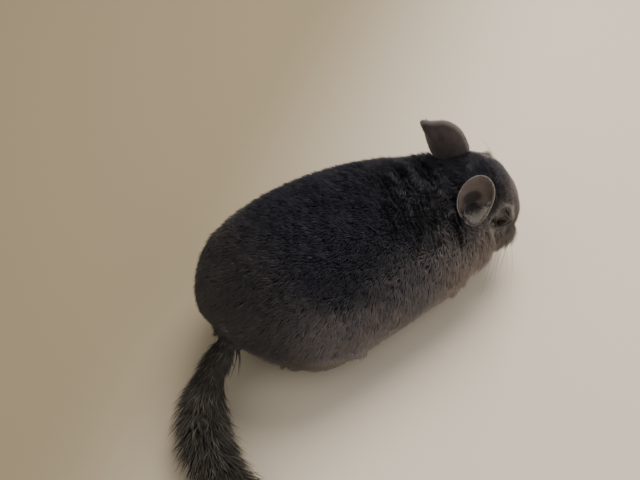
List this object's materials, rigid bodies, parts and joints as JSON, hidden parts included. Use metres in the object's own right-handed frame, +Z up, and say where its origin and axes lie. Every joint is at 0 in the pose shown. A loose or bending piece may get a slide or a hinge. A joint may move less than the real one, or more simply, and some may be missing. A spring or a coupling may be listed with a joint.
{
  "type": "chinchilla",
  "caption": "Crouching chinchilla, a life-size still model with large rounded ears, dense dark coat and bushy tail laid round on the floor.",
  "frame": {"origin": "on the floor, in the middle of the small flat where the belly rests", "axes": "+X the way the chest faces, +Y the animal's left, +Z up"},
  "size_m": [0.3058, 0.2107, 0.1362],
  "materials": {
    "coat_body": "dense matt fur, slate grey on the back and grey brown on the flanks",
    "coat_head": "short matt fur, grey brown",
    "coat_legs": "short matt fur, grey brown",
    "coat_tail": "long coarse dark hair with paler tips",
    "ears": "thin, nearly bare grey brown skin",
    "eyes": "wet and glossy, near black",
    "claws": "dull horn"
  },
  "bodies": {
    "root": {"hindleg_left": "coat_legs", "claw_hindleg_left_1": "claws", "claw_hindleg_left_2": "claws", "claw_hindleg_left_3": "claws", "foreleg_left": "coat_legs", "claw_foreleg_left_1": "claws", "claw_foreleg_left_2": "claws", "claw_foreleg_left_3": "claws", "claw_foreleg_left_4": "claws", "hindleg_right": "coat_legs", "claw_hindleg_right_1": "claws", "claw_hindleg_right_2": "claws", "claw_hindleg_right_3": "claws", "foreleg_right": "coat_legs", "claw_foreleg_right_1": "claws", "claw_foreleg_right_2": "claws", "claw_foreleg_right_3": "claws", "claw_foreleg_right_4": "claws", "torso": "coat_body", "neck": "coat_body", "ear_left": "ears", "eye_left": "eyes", "ear_right": "ears", "eye_right": "eyes", "head": "coat_head", "tail_base": "coat_tail", "tail_middle": "coat_tail", "tail_tip": "coat_tail"}
  },
  "joints": []
}
